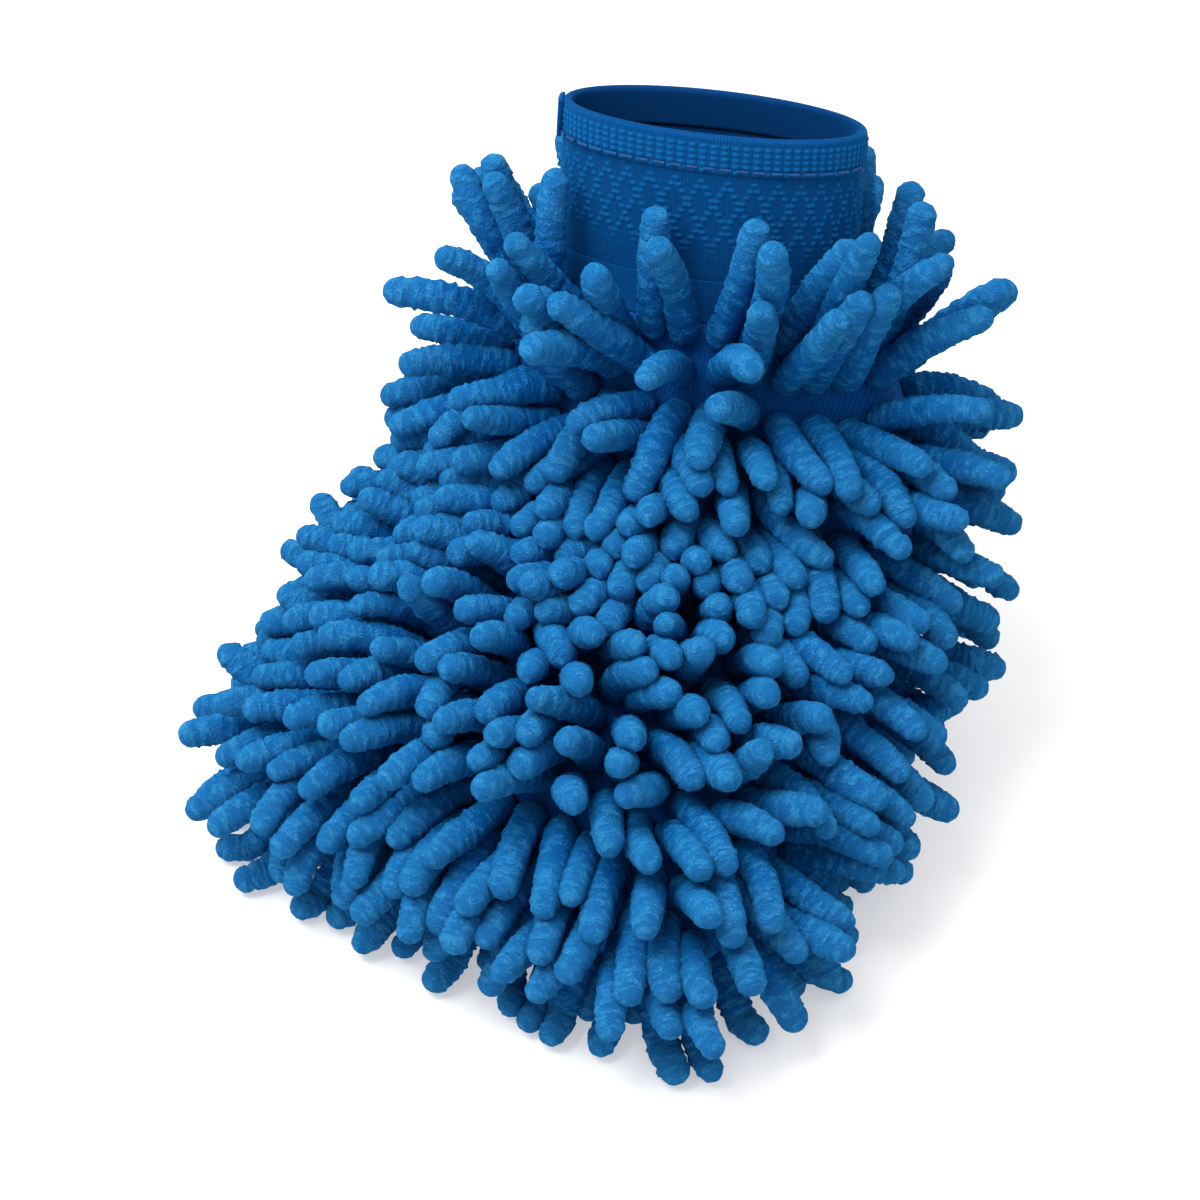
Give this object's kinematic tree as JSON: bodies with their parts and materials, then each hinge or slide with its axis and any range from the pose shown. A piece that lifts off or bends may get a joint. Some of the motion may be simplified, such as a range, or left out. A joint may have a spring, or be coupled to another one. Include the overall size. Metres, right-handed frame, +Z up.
{
  "type": "wash mitt",
  "caption": "Soft car wash mitt: a lined bag covered on both sides with rows of long chenille noodles, closed at the front, with a ribbed knitted cuff round the hand opening.",
  "frame": {"origin": "on the surface the mitt stands on, under the middle of its outline", "axes": "+Z up, +X across the hand, +Y from the closed front end towards the wrist"},
  "size_m": [0.211, 0.2246, 0.1906],
  "materials": {
    "chenille_pile": "matt, fuzzy microfibre chenille",
    "base_cloth": "matt warp knit",
    "lining_cloth": "fine matt knit",
    "cuff_knit": "fine rib and patterned knit, slight sheen",
    "thread": "spun polyester thread",
    "elastic": "covered elastic band"
  },
  "bodies": {
    "mitt": {"bottom_panel": "base_cloth", "bottom_row_01": "chenille_pile", "bottom_row_02": "chenille_pile", "bottom_row_03": "chenille_pile", "bottom_row_04": "chenille_pile", "bottom_row_05": "chenille_pile", "bottom_row_06": "chenille_pile", "bottom_row_07": "chenille_pile", "bottom_row_08": "chenille_pile", "bottom_row_09": "chenille_pile", "bottom_row_10": "chenille_pile", "bottom_row_11": "chenille_pile", "bottom_row_12": "chenille_pile", "bottom_row_13": "chenille_pile", "bottom_row_14": "chenille_pile", "bottom_row_15": "chenille_pile", "bottom_row_16": "chenille_pile", "bottom_row_17": "chenille_pile", "bottom_row_18": "chenille_pile", "bottom_row_19": "chenille_pile", "bottom_row_20": "chenille_pile", "cuff_foot": "cuff_knit", "front_seam": "base_cloth", "front_stitching": "thread", "left_seam": "base_cloth", "left_stitching": "thread", "lining_bottom": "lining_cloth", "lining_end": "lining_cloth", "lining_top": "lining_cloth", "mouth_seam": "cuff_knit", "mouth_stitching": "thread", "right_seam": "base_cloth", "right_stitching": "thread", "top_panel": "base_cloth", "top_row_01": "chenille_pile", "top_row_02": "chenille_pile", "top_row_03": "chenille_pile", "top_row_04": "chenille_pile", "top_row_05": "chenille_pile", "top_row_06": "chenille_pile", "top_row_07": "chenille_pile", "top_row_08": "chenille_pile", "top_row_09": "chenille_pile", "top_row_10": "chenille_pile", "top_row_11": "chenille_pile", "top_row_12": "chenille_pile", "top_row_13": "chenille_pile", "top_row_14": "chenille_pile", "top_row_15": "chenille_pile", "top_row_16": "chenille_pile", "top_row_17": "chenille_pile", "top_row_18": "chenille_pile"},
    "cuff": {"cuff_tube": "cuff_knit", "cuff_hem": "cuff_knit", "hem_elastic": "elastic", "hem_lap": "cuff_knit", "hem_stitching": "thread", "cuff_side_seam": "cuff_knit"}
  },
  "joints": [
    {"name": "cuff_fold", "type": "hinge", "parent": "mitt", "child": "cuff", "pos_m": [-0.00731, 0.05823, 0.13994], "axis": [0.9532, 0.3024, 0], "range_deg": [-25, 30], "stiffness_Nm_per_rad": 0.06, "deforming": ["cuff_foot", "top_row_15", "top_row_16", "top_row_17", "top_row_18", "bottom_row_17", "bottom_row_18", "bottom_row_19", "bottom_row_20"]}
  ]
}
